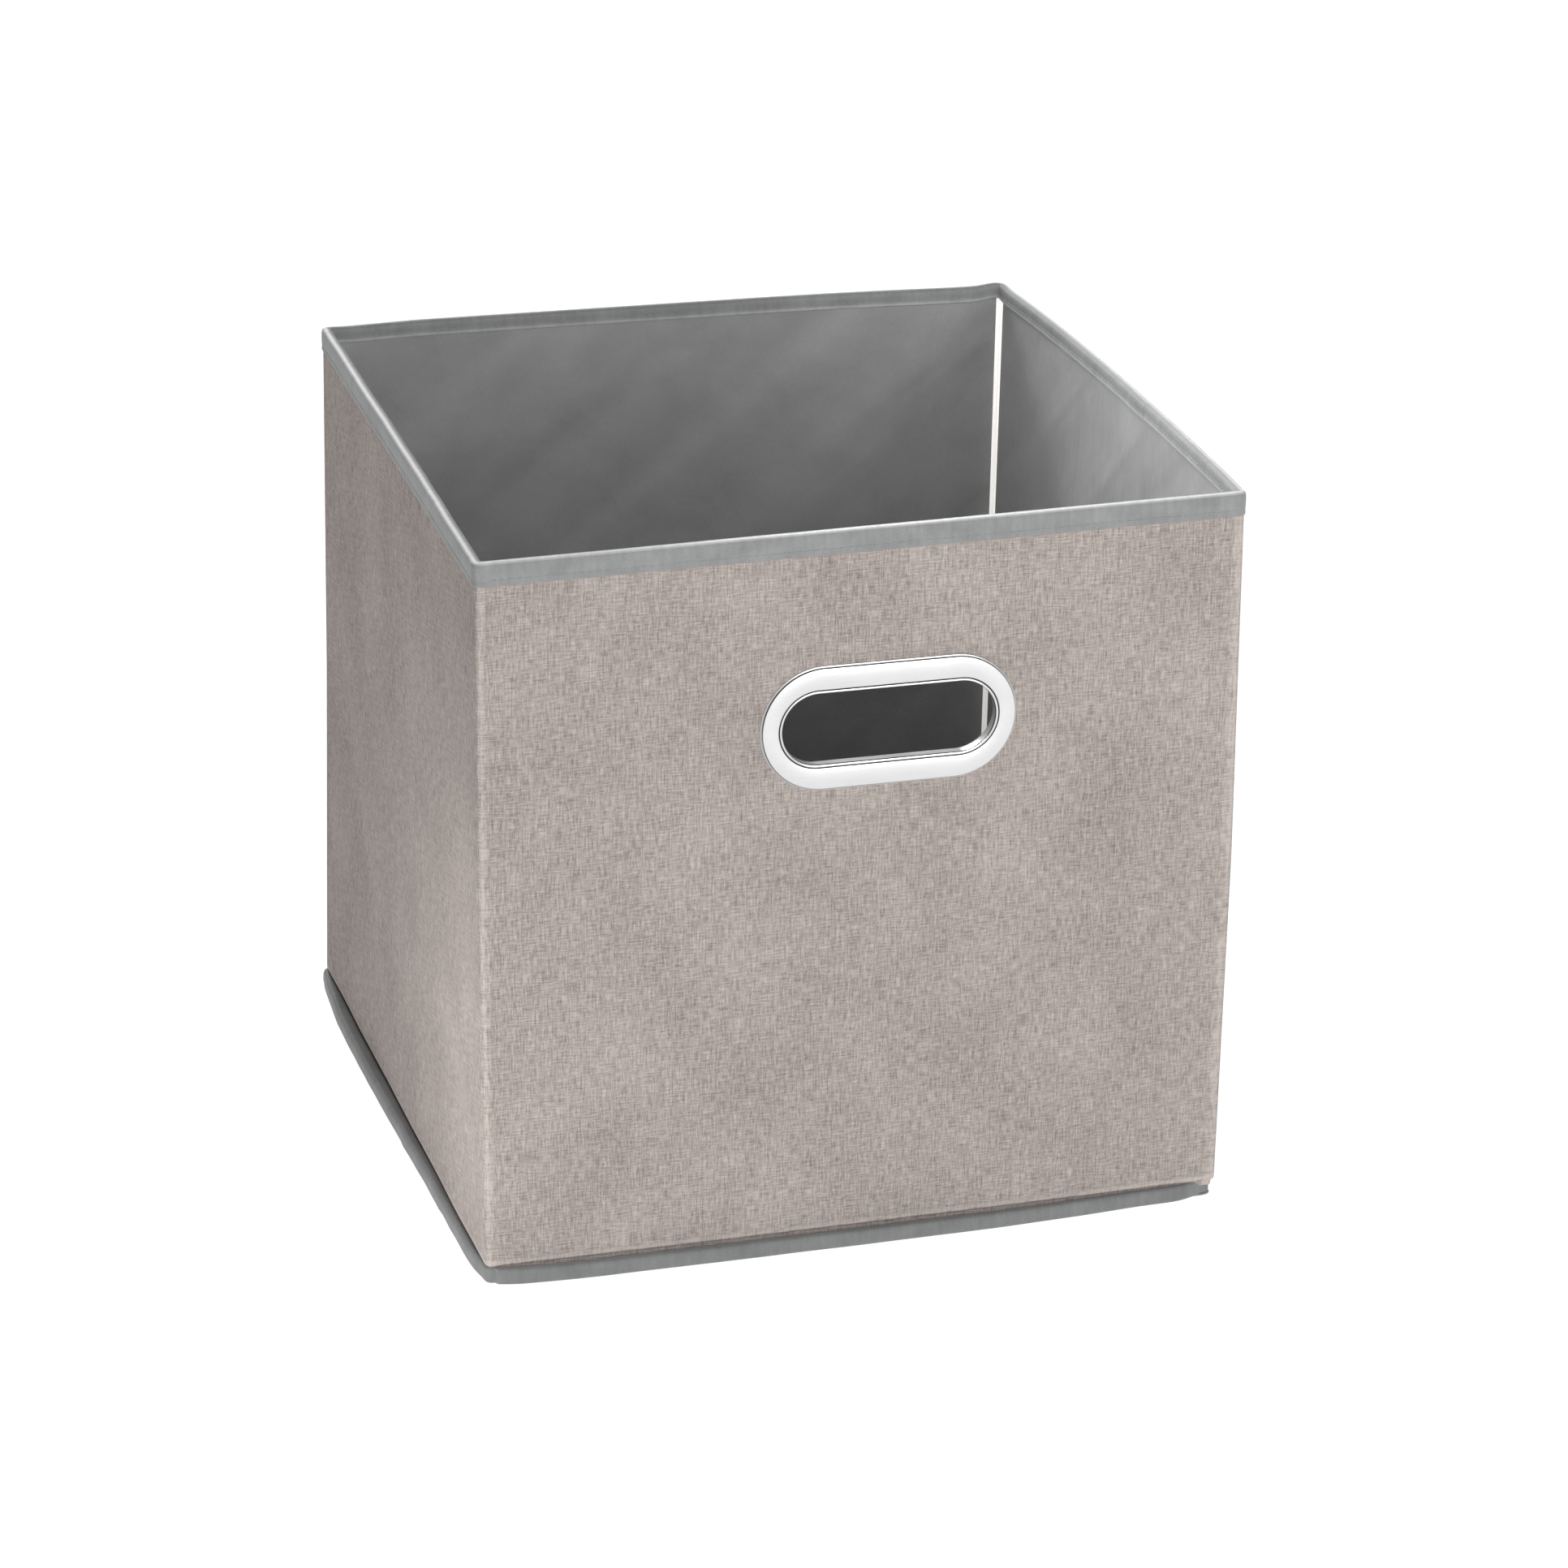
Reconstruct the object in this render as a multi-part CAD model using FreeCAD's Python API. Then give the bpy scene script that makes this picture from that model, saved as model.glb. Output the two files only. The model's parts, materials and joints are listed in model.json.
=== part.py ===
import FreeCAD, Part
import os

V = FreeCAD.Vector

# ---------------------------------------------------------------- driving dimensions (mm)
# Frame: X across the front, Y from the front (-Y) to the back (+Y), Z up from the floor.
width = 310.0              # outside of the cover, left to right
depth = 304.0              # outside of the cover, front to back
height = 308.0             # floor to the top of the rim binding
corner_radius = 4.0        # outside of the four upright corners

cover_t = 0.8              # outer linen-look fabric
card_t = 2.0               # cardboard stiffener
lining_t = 0.4             # nonwoven lining
backing_t = 0.4            # pale backing cloth bared in the inside corners
tape_t = 0.5               # folded binding tape, one layer

rim_outside_h = 9.5        # rim binding, height of its outer leg
rim_inside_h = 6.5         # rim binding, height of its inner leg
skirt_h = 8.0              # floor to the lower edge of the four walls
welt_h = 6.4               # bottom binding, height above the bottom panel
welt_out = 2.0             # bottom binding, how far it stands out of the cover
welt_in = 1.6              # bottom binding, how far it reaches under the wall
bottom_t = 0.8             # sewn bottom panel

fold_clearance = 0.4       # between the flipped-up base and a folded side half
corner_relief = 3.6        # from the side backing to the edge of an end wall's stiffener
crease_stand_off = 5.0     # the side crease turns this far outside the cover
cut_gap = 0.3              # between a fold line and the edge of the cloth beside it
card_crease_gap = 2.0      # between the side crease and the edge of the cardboard
card_edge_gap = 1.2        # between a cloth edge and the cardboard inside it

handle_x = 9.0             # middle of the handle, right of the middle of the front
handle_drop = 81.2         # top of the rim to the middle of the handle
handle_hole_w = 88.0       # clear opening of the handle
handle_hole_h = 30.0
ring_end_face = 8.75       # front ring's face at the two round ends of the hole
ring_long_face = 11.0      # front ring's face above and below the hole
ring_proud = 1.7           # front ring in front of the cover
back_ring_proud = 1.6      # back ring inside of the lining
back_ring_inset = 1.5      # back ring's outline inside the front ring's
sleeve_t = 0.8             # wall of the front ring's sleeve
sleeve_gap = 0.2           # between the sleeve and what it passes through
ring_round = 0.8           # rounding of the rings' outer edges

base_card_t = 2.5          # cardboard in the loose base
base_cloth_t = 0.4         # cloth pocket around it
base_side_gap = 2.6        # base to each side wall
base_front_gap = 1.8       # base to the front wall
base_floor_gap = 0.7       # base above the bottom panel
base_seam = 3.0            # closed seam of the pocket around the card
hinge_tape_h = 17.0        # cloth strip that joins the base to the back wall
hinge_tape_w = 250.0
hinge_gap = 0.2            # around the base's hinge line

# ---------------------------------------------------------------- worked out from them
half_w = width / 2.0
half_d = depth / 2.0
wall_t = cover_t + card_t + lining_t
inner_x = half_w - wall_t                       # inner face of a side wall
inner_y = half_d - wall_t                       # inner face of an end wall
base_t = base_card_t + 2.0 * base_cloth_t
corner_room = tape_t + 2.0 * hinge_gap + base_t + fold_clearance    # holds the flipped-up base
corner_y = inner_y - corner_room                # fold line between a side half and an end wall
corner_x = inner_x - tape_t
cloth_top = height - tape_t                     # the walls end under the rim binding
card_top = cloth_top - card_edge_gap
card_bottom = skirt_h + card_edge_gap
end_card_x = half_w - cover_t - backing_t - corner_relief
base_bottom = bottom_t + base_floor_gap
base_top = base_bottom + base_t
base_hinge_y = inner_y - tape_t - hinge_gap
base_hinge_z = base_top + hinge_gap
handle_z = height - handle_drop
ring_wide = handle_hole_w + 2.0 * ring_end_face
ring_high = handle_hole_h + 2.0 * ring_long_face
FAR = 2.0 * (width + depth + height)            # larger than the whole bin


# ---------------------------------------------------------------- helpers
def block(x0, x1, y0, y1, z0, z1):
    """A box between two corners."""
    return Part.makeBox(x1 - x0, y1 - y0, z1 - z0, V(x0, y0, z0))


def rounded_prism(half_x, half_y, radius, z0, z1):
    """An upright prism centred on the Z axis, with rounded upright edges."""
    prism = block(-half_x, half_x, -half_y, half_y, z0, z1)
    if radius <= 0.0:
        return prism
    upright = [e for e in prism.Edges if abs(e.BoundBox.ZLength - (z1 - z0)) < 1e-6]
    return prism.makeFillet(radius, upright)


def ring(outset, inset, z0, z1):
    """A band that goes all round the bin, between two offsets from the cover's face."""
    outer = rounded_prism(half_w + outset, half_d + outset, corner_radius + outset, z0, z1)
    inner_radius = max(0.0, corner_radius - inset)
    inner = rounded_prism(half_w - inset, half_d - inset, inner_radius, z0, z1)
    return outer.cut(inner)


def end_zone(side):
    """The space of the front (-1) or back (+1) wall, as far as its two corner fold lines."""
    y0 = corner_y + cut_gap
    if side > 0:
        return block(-FAR, FAR, y0, FAR, -FAR, FAR)
    return block(-FAR, FAR, -FAR, -y0, -FAR, FAR)


def half_zone(side_x, side_y):
    """The space of one half of a side wall, from the crease to the corner fold line."""
    x0, x1 = (0.0, FAR) if side_x > 0 else (-FAR, 0.0)
    y0, y1 = cut_gap, corner_y - cut_gap
    if side_y < 0:
        y0, y1 = -y1, -y0
    return block(x0, x1, y0, y1, -FAR, FAR)


def stadium(wide, high, y0, y1, cx=handle_x, cz=handle_z):
    """A long hole or disc with round ends, which runs from y0 to y1."""
    r = high / 2.0
    straight = wide / 2.0 - r
    left, right = cx - straight, cx + straight
    edges = [
        Part.LineSegment(V(left, y0, cz + r), V(right, y0, cz + r)).toShape(),
        Part.Arc(V(right, y0, cz + r), V(right + r, y0, cz), V(right, y0, cz - r)).toShape(),
        Part.LineSegment(V(right, y0, cz - r), V(left, y0, cz - r)).toShape(),
        Part.Arc(V(left, y0, cz - r), V(left - r, y0, cz), V(left, y0, cz + r)).toShape(),
    ]
    return Part.Face(Part.Wire(edges)).extrude(V(0.0, y1 - y0, 0.0))


def round_outline(plate, y_face):
    """Round the outer edges of a ring's plate, in the plane y = y_face."""
    edges = [
        e for e in plate.Edges
        if e.BoundBox.YLength < 1e-6 and abs(e.BoundBox.YMin - y_face) < 1e-6
    ]
    return plate.makeFillet(ring_round, edges)


def save(node, solid):
    """Write one node, and stop if it isn't one valid closed solid."""
    solid = solid.removeSplitter()
    if not solid.isValid() or len(solid.Solids) != 1:
        raise ValueError("%s: %d solids, valid %s" % (node, len(solid.Solids), solid.isValid()))
    solid.Solids[0].exportStep(os.path.join("parts", node + ".step"))


# ---------------------------------------------------------------- wall layers
def cover_band():
    return ring(0.0, cover_t, skirt_h, cloth_top)


def lining_band():
    return ring(-cover_t - card_t, wall_t, skirt_h, cloth_top)


def backing_band():
    return ring(-cover_t, cover_t + backing_t, skirt_h, cloth_top)


def rim_band():
    """The tape folded over the rim: an outer leg, the fold on top and a shorter inner leg."""
    outer_leg = ring(tape_t, 0.0, height - rim_outside_h, height)
    fold = ring(tape_t, wall_t + tape_t, cloth_top, height)
    inner_leg = ring(-wall_t, wall_t + tape_t, height - rim_inside_h, height)
    return outer_leg.fuse([fold, inner_leg])


def welt_band():
    """The binding around the seam that joins the walls to the bottom panel."""
    return ring(welt_out, welt_in, bottom_t, bottom_t + welt_h)


def end_panel(side, y_out, y_in, x_half, z0, z1):
    """A flat layer of the front or back wall, between two depths below the cover's face."""
    y0, y1 = half_d - y_in, half_d - y_out
    if side < 0:
        y0, y1 = -y1, -y0
    return block(-x_half, x_half, y0, y1, z0, z1)


def side_card(side_x, side_y):
    """The cardboard of one half of a side wall."""
    x0, x1 = half_w - cover_t - card_t, half_w - cover_t
    y0, y1 = card_crease_gap, corner_y - card_edge_gap
    if side_x < 0:
        x0, x1 = -x1, -x0
    if side_y < 0:
        y0, y1 = -y1, -y0
    return block(x0, x1, y0, y1, card_bottom, card_top)


# ---------------------------------------------------------------- handle
def handle_cut():
    """The hole that the handle's sleeve passes through in every layer of the front wall."""
    grow = 2.0 * (sleeve_t + sleeve_gap)
    return stadium(handle_hole_w + grow, handle_hole_h + grow, -half_d - wall_t, -inner_y + wall_t)


def front_ring():
    """The ring seen on the front, with the sleeve that goes through the wall."""
    face_y = -half_d - ring_proud
    sleeve_end = -inner_y + back_ring_proud
    flange = stadium(ring_wide, ring_high, face_y, -half_d)
    flange = round_outline(flange, face_y)
    sleeve_w, sleeve_h = handle_hole_w + 2.0 * sleeve_t, handle_hole_h + 2.0 * sleeve_t
    sleeve = stadium(sleeve_w, sleeve_h, face_y + ring_round, sleeve_end)
    hole = stadium(handle_hole_w, handle_hole_h, face_y - 1.0, sleeve_end + 1.0)
    return flange.fuse(sleeve).cut(hole)


def back_ring():
    """The plain ring that clamps the wall from inside, around the sleeve's end."""
    y_out = -inner_y + back_ring_proud
    grow = 2.0 * (sleeve_t + sleeve_gap)
    plate = stadium(ring_wide - 2.0 * back_ring_inset, ring_high - 2.0 * back_ring_inset, -inner_y, y_out)
    plate = round_outline(plate, y_out)
    return plate.cut(stadium(handle_hole_w + grow, handle_hole_h + grow, -inner_y - 1.0, y_out + 1.0))


# ---------------------------------------------------------------- loose base
def base_card():
    return block(
        -inner_x + base_side_gap + base_seam, inner_x - base_side_gap - base_seam,
        -inner_y + base_front_gap + base_seam, base_hinge_y - hinge_gap - base_seam,
        base_bottom + base_cloth_t, base_top - base_cloth_t,
    )


def base_pocket():
    """The cloth around the base's card, open along the edge that is hinged to the back wall."""
    pocket = block(
        -inner_x + base_side_gap, inner_x - base_side_gap,
        -inner_y + base_front_gap, base_hinge_y - hinge_gap,
        base_bottom, base_top,
    )
    room = block(
        -inner_x + base_side_gap + base_seam, inner_x - base_side_gap - base_seam,
        -inner_y + base_front_gap + base_seam, FAR,
        base_bottom + base_cloth_t, base_top - base_cloth_t,
    )
    return pocket.cut(room)


def base_hinge_tape():
    return block(
        -hinge_tape_w / 2.0, hinge_tape_w / 2.0, inner_y - tape_t, inner_y,
        base_hinge_z, base_hinge_z + hinge_tape_h,
    )


def bottom_panel():
    grow = welt_out - cover_t
    return rounded_prism(half_w + grow, half_d + grow, corner_radius + grow, 0.0, bottom_t)


# ---------------------------------------------------------------- the whole bin
def end_wall(name, side, cutter=None):
    """All layers of the front or back wall, and the backing bared in its two corners."""
    zone = end_zone(side)
    layers = {
        "cover": cover_band().common(zone),
        "card": end_panel(side, cover_t, cover_t + card_t, end_card_x, card_bottom, card_top),
        "lining": end_panel(side, cover_t + card_t, wall_t, end_card_x, skirt_h, cloth_top),
    }
    for layer, solid in layers.items():
        save("%s_%s" % (name, layer), solid.cut(cutter) if cutter else solid)
    save("%s_rim_binding" % name, rim_band().common(zone))
    save("%s_bottom_welt" % name, welt_band().common(zone))
    for side_x, label in ((-1, "left"), (1, "right")):
        column = block(end_card_x, FAR, -FAR, FAR, -FAR, FAR)
        if side_x < 0:
            column = block(-FAR, -end_card_x, -FAR, FAR, -FAR, FAR)
        save("%s_%s_corner_backing" % (name, label), backing_band().common(zone).common(column))


def side_half(name, side_x, side_y):
    """All layers of one half of a side wall."""
    zone = half_zone(side_x, side_y)
    save("%s_cover" % name, cover_band().common(zone))
    save("%s_card" % name, side_card(side_x, side_y))
    save("%s_lining" % name, lining_band().common(zone))
    save("%s_rim_binding" % name, rim_band().common(zone))
    save("%s_bottom_welt" % name, welt_band().common(zone))


def main():
    os.makedirs("parts", exist_ok=True)
    end_wall("front", -1, handle_cut())
    end_wall("back", 1)
    for x_label, side_x in (("left", -1), ("right", 1)):
        for y_label, side_y in (("front", -1), ("rear", 1)):
            side_half("%s_%s" % (x_label, y_label), side_x, side_y)
    save("handle_front_ring", front_ring())
    save("handle_back_ring", back_ring())
    save("bottom_panel", bottom_panel())
    save("base_card", base_card())
    save("base_pocket", base_pocket())
    save("base_hinge_tape", base_hinge_tape())


main()
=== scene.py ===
"""Fold-flat fabric storage bin: linen-look cover, grey lining, taped rim and foot, oval grip."""

import json
import math

import bmesh
import bpy
from bpy.props import FloatProperty, FloatVectorProperty, PointerProperty
from mathutils import Matrix, Vector, noise


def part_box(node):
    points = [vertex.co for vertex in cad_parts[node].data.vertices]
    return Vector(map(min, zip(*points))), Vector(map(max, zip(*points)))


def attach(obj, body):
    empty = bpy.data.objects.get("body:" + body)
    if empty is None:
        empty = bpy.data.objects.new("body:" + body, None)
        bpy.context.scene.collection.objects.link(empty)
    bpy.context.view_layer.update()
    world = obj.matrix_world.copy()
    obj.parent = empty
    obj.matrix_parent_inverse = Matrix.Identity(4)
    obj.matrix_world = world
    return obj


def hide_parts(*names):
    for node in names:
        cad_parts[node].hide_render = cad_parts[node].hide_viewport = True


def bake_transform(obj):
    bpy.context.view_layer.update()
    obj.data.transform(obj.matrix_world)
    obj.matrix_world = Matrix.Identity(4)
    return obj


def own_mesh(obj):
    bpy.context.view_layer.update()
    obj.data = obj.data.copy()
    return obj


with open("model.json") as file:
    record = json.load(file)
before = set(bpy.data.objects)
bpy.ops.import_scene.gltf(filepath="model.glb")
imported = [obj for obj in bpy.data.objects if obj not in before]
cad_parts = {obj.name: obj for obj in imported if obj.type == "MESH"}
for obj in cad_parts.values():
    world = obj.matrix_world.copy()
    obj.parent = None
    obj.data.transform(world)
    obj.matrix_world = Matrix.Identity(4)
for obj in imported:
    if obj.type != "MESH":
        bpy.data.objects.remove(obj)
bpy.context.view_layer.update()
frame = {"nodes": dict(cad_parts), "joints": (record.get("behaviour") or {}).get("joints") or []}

bl_info = {
    "name": "Fold-flat fabric storage bin",
    "version": (1, 0, 0),
    "blender": (4, 5, 0),
    "location": "View3D > Sidebar > Storage bin",
    "description": "Makes the cloth, card and metal pieces of a fold-flat storage bin",
    "category": "Object",
}

MM = 0.001

# ---- places taken from the frame
COVER_LOW, COVER_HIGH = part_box("front_cover")
LINING_LOW, LINING_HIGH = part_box("front_lining")
SIDE_LINING_EDGE = -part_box("right_front_lining")[0].y
HALF_W = COVER_HIGH.x
HALF_D = -COVER_LOW.y
HEM = COVER_LOW.z                       # lower edge of the walls
CLOTH_TOP = COVER_HIGH.z
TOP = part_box("front_rim_binding")[1].z
CORNER_R = 4.0 * MM                     # outside of the upright corners
PIVOT = {j["name"]: Vector(j["pos_m"]) for j in frame["joints"]}
CORNER_FOLD = -PIVOT["right_front_corner"].y

RING_LOW, RING_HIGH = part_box("handle_front_ring")
GRIP = (RING_LOW + RING_HIGH) / 2
HOLE_R = 15.0 * MM                      # the grip's hole: its end radius and half its straight
HOLE_STRAIGHT = 29.0 * MM
CUT_R = HOLE_R + 3.0 * MM               # the hole in the cloths and the card, under the ring
CUT_AREA = math.pi * CUT_R ** 2 + 4 * CUT_R * HOLE_STRAIGHT

# Every cloth is cut flat and wrapped. U runs round the bin from the middle of the front, S up.
FLAT_X = HALF_W - CORNER_R
FLAT_Y = HALF_D - CORNER_R
ARC = CORNER_R * math.pi / 2
SIDE_START = FLAT_X + ARC
SIDE_MID = SIDE_START + FLAT_Y
SIDE_END = SIDE_MID + FLAT_Y
BACK_START = SIDE_END + ARC
HALF_ROUND = BACK_START + FLAT_X        # middle of the back


def on_side(y):
    """The U of a place on the right side, y from the middle of the side."""
    return SIDE_MID + y


# ---- sizes and colours
def length(name, description, default, low=0.0, high=0.1):
    return FloatProperty(name=name, description=description, default=default, min=low, max=high,
                         precision=5, subtype="DISTANCE", unit="LENGTH")


def colour(name, description, default):
    return FloatVectorProperty(name=name, description=description, default=default, size=3,
                               min=0.0, max=1.0, subtype="COLOR")


class BIN_PG_sizes(bpy.types.PropertyGroup):
    """Sizes of the soft parts"""

    cover_thick: length("Cover", "Thickness of the outer cloth", 0.8 * MM)
    lining_thick: length("Lining", "Thickness of the nonwoven lining", 0.4 * MM)
    tape_thick: length("Tape", "Thickness of the binding tape", 0.5 * MM)
    side_bow: length("Side bow", "How far the right side swells at the rim", 4.0 * MM)
    back_bow: length("Back bow", "How far the back wall is sprung outwards", 3.6 * MM)
    ripple: length("Ripple", "Height of the slow ripples in the walls", 0.35 * MM)
    slack: length("Slack", "Height of the creases in the lining", 0.45 * MM)
    cell: length("Cell", "Distance between the columns of a cloth's mesh", 4.0 * MM, 1.0 * MM)
    stitch_pitch: length("Stitch pitch", "From one stitch to the next", 3.4 * MM, 1.0 * MM)
    stitch_thick: length("Thread", "Thickness of the thread", 0.36 * MM)


class BIN_PG_colours(bpy.types.PropertyGroup):
    """Colours of the finishes"""

    linen_light: colour("Linen light", "Pale yarns of the cover", (0.449, 0.397, 0.370))
    linen_dark: colour("Linen dark", "Dark yarns of the cover", (0.184, 0.161, 0.148))
    lining: colour("Lining", "Nonwoven lining", (0.26, 0.26, 0.261))
    tape: colour("Tape", "Binding tape", (0.212, 0.216, 0.216))
    backing: colour("Backing", "Backing in the inside corners", (0.86, 0.86, 0.85))
    card: colour("Card", "Cardboard stiffeners", (0.42, 0.31, 0.20))
    metal: colour("Metal", "Grip rings", (0.72, 0.72, 0.72))
    thread: colour("Thread", "Sewing thread", (0.26, 0.266, 0.268))
    floor: colour("Floor", "Studio floor", (0.13, 0.13, 0.13))


# ---- shader expressions
class Value:
    """A shader socket that can stand in a sum."""

    def __init__(self, finish, socket):
        self.finish = finish
        self.socket = socket

    def maths(self, operation, *others, swap=False):
        terms = [self, *others]
        if swap:
            terms.reverse()
        made = self.finish.node("ShaderNodeMath", {"operation": operation}, dict(enumerate(terms)))
        return Value(self.finish, made.outputs[0])

    def __add__(self, other):
        return self.maths("ADD", other)

    def __sub__(self, other):
        return self.maths("SUBTRACT", other)

    def __rsub__(self, other):
        return self.maths("SUBTRACT", other, swap=True)

    def __mul__(self, other):
        return self.maths("MULTIPLY", other)

    __radd__ = __add__
    __rmul__ = __mul__

    def sine(self):
        return self.maths("SINE")

    def near(self, centre, width):
        """1 at a value, and down to 0 a width away from it."""
        return (1.0 - (self - centre).maths("ABSOLUTE") * (1 / width)).clamp()

    def clamp(self):
        return self.maths("MAXIMUM", 0.0).maths("MINIMUM", 1.0)


class Finish:
    """The nodes of one material or of the world, built one by one."""

    def __init__(self, owner):
        self.owner = owner
        owner.use_nodes = True
        self.tree = owner.node_tree
        self.tree.nodes.clear()

    def feed(self, socket, value):
        if isinstance(value, Value):
            value = value.socket
        if isinstance(value, bpy.types.NodeSocket):
            self.tree.links.new(value, socket)
        else:
            socket.default_value = value

    def node(self, kind, settings=None, inputs=None):
        made = self.tree.nodes.new(kind)
        for key, value in (settings or {}).items():
            setattr(made, key, value)
        for key, value in (inputs or {}).items():
            self.feed(made.inputs[key], value)
        return made

    def flat(self, across, along):
        """The cloth's own flat coordinates, in cells of the given size in metres."""
        uv = self.node("ShaderNodeUVMap", {"uv_map": "flat"}).outputs["UV"]
        return self.scaled(uv, (1 / across, 1 / along, 0.0))

    def place(self, x, y, z):
        """The object's coordinates, in cells of the given size in metres."""
        at = self.node("ShaderNodeTexCoord").outputs["Object"]
        return self.scaled(at, (1 / x, 1 / y, 1 / z))

    def scaled(self, vector, by):
        made = self.node("ShaderNodeVectorMath", {"operation": "MULTIPLY"}, {0: vector, 1: by})
        return made.outputs["Vector"]

    def noise(self, vector, detail=2.0, rough=0.5, swirl=0.0):
        made = self.node("ShaderNodeTexNoise", {}, {
            "Vector": vector, "Scale": 1.0, "Detail": detail, "Roughness": rough,
            "Distortion": swirl})
        return Value(self, made.outputs["Fac"])

    def dots(self, across, along):
        """A regular grid of raised and sunk dots on the flat cloth."""
        turns = self.flat(across / (2 * math.pi), along / (2 * math.pi))
        return self.part(turns, "X").sine() * self.part(turns, "Y").sine()

    def part(self, vector, axis):
        made = self.node("ShaderNodeSeparateXYZ", {}, {"Vector": vector})
        return Value(self, made.outputs[axis])

    def blend(self, share, first, second):
        """A colour between two, by share."""
        made = self.node("ShaderNodeMix", {"data_type": "RGBA"}, {
            "Factor": share, 6: solid(first), 7: solid(second)})
        return made.outputs[2]

    def bump(self, height, depth, strength=1.0, under=None):
        made = self.node("ShaderNodeBump", {}, {
            "Height": height, "Distance": depth, "Strength": strength})
        if under is not None:
            self.feed(made.inputs["Normal"], under)
        return made.outputs["Normal"]

    def surface(self, **inputs):
        shader = self.node("ShaderNodeBsdfPrincipled", {}, {
            key.replace("_", " "): solid(value) for key, value in inputs.items()})
        self.node("ShaderNodeOutputMaterial", {}, {"Surface": shader.outputs["BSDF"]})
        return self.owner


def solid(value):
    """A colour property as the four numbers that a socket takes; anything else as it is."""
    if hasattr(value, "__len__") and len(value) == 3:
        return (*value, 1.0)
    return value


def new_finish(name):
    return Finish(bpy.data.materials.new(name))


def share_of(*noises):
    """A share around one half, from noises and how much each one counts."""
    share = 0.5
    for value, weight in noises:
        share = share + (value - 0.5) * weight
    return share


def toned(colour, by):
    """A colour made paler or darker."""
    return tuple(min(1.0, part * by) for part in colour)


# ---- finishes
YARN = 0.62 * MM                        # from one yarn of the cover to the next
YARN_RUN = 6.0 * MM                     # how far a yarn keeps its tone
PAINTED_GLOW_HEIGHT = 0.28                      # where the backing's painted glow is at its full
PAINTED_FOLD_HIGHLIGHT = (0.88, 0.88, 0.88)         # painted highlight on the tape's folds and sewn edges
GROOVE_PAINTED_SHADE = (0.06, 0.06, 0.06)       # painted shade in the ring's groove


def linen():
    """Plain-woven mottled cloth: uneven pale and dark yarns both ways, painted highlights on its
    folds.
    """
    c = bpy.context.scene.bin_colours
    f = new_finish("linen_cover")
    warp = f.noise(f.flat(YARN, YARN_RUN), 2.0, 0.6)
    weft = f.noise(f.flat(YARN_RUN, YARN), 2.0, 0.6)
    slub = f.noise(f.flat(1.2 * MM, 30 * MM), 1.0)
    fleck = f.noise(f.flat(1.0 * MM, 1.0 * MM), 3.0, 0.75)
    cloud = f.noise(f.flat(42 * MM, 50 * MM), 3.0)
    share = share_of((warp, 1.65), (weft, 1.4), (slub, 0.4), (fleck, 0.85), (cloud, 0.55))
    cut = f.flat(1.0, 1.0)
    round_bin, up = f.part(cut, "X"), f.part(cut, "Y")
    corner, turned_hem = FLAT_X + 1.5 * MM, 4.6 * MM
    # Painted highlights along the front corners, the side creases and the turned hem: place, half
    # width, strength.
    painted_highlights = ((round_bin, -corner, 2.2 * MM, 0.35), (round_bin, corner, 2.2 * MM, 0.35),
            (round_bin, -SIDE_MID, 1.2 * MM, 0.12), (round_bin, SIDE_MID, 1.2 * MM, 0.12),
            (up, turned_hem, 1.8 * MM, 0.45))
    for way, edge, half, strength in painted_highlights:
        share = share + way.near(edge, half) * strength
    height = f.dots(YARN, YARN) * 0.35 + warp * 0.7 + weft * 0.7 + fleck * 0.4
    return f.surface(
        Base_Color=f.blend(share.clamp(), c.linen_dark, c.linen_light),
        Roughness=0.95, Specular_IOR_Level=0.2,
        Normal=f.bump(height, 0.10 * MM, 0.8))


def nonwoven(name, tone, depth=0.05 * MM, spread=0.14, sheen=0.30, painted_glow=0.0):
    """Spun-bonded cloth: fine fibres, a grid of small pressed dots, and soft slanting folds, with
    their shade also painted into the colour. A painted glow gives off light from it, most near the
    rim."""
    f = new_finish(name)
    fibre = f.noise(f.flat(0.5 * MM, 2.2 * MM), 3.0, 0.7, 0.4)
    cloud = f.noise(f.flat(26 * MM, 22 * MM), 3.0)
    press = f.dots(1.5 * MM, 1.1 * MM)
    round_bin, up = f.part(f.flat(50 * MM, 1.0), "X"), f.part(f.flat(1.0, 42 * MM), "Y")
    slant = f.node("ShaderNodeCombineXYZ", {}, {"X": round_bin + up, "Y": up * 0.18})
    fold = f.noise(slant.outputs["Vector"], 2.0, 0.45, 0.3)
    wave = f.noise(f.flat(34 * MM, 52 * MM), 3.0, 0.5, 0.9)
    soft = f.bump(wave + fold * 1.6, 2.2 * MM, 0.6)
    # The folds' noise also lightens and darkens the colour: painted shade along the folds.
    share = share_of((fibre, 1.0), (cloud, 1.2), (fold, 1.7)) + press * 0.06
    painted_light = (1.0, 1.0, 1.0)
    # Painted glow: the cloth gives off light, weaker towards its foot.
    if painted_glow:
        height = f.part(f.place(1.0, 1.0, PAINTED_GLOW_HEIGHT), "Z")
        painted_light = f.blend(height.clamp(), toned(painted_light, 0.45), painted_light)
    return f.surface(
        Base_Color=f.blend(share.clamp(), toned(tone, 1 - spread), toned(tone, 1 + spread)),
        Roughness=(0.62 + (fibre - 0.5) * 0.2), Sheen_Weight=sheen, Sheen_Roughness=0.4,
        Specular_IOR_Level=0.35, Emission_Strength=painted_glow, Emission_Color=painted_light,
        Normal=f.bump(press * 0.6 + fibre * 0.8, depth, 0.7, soft))


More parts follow.
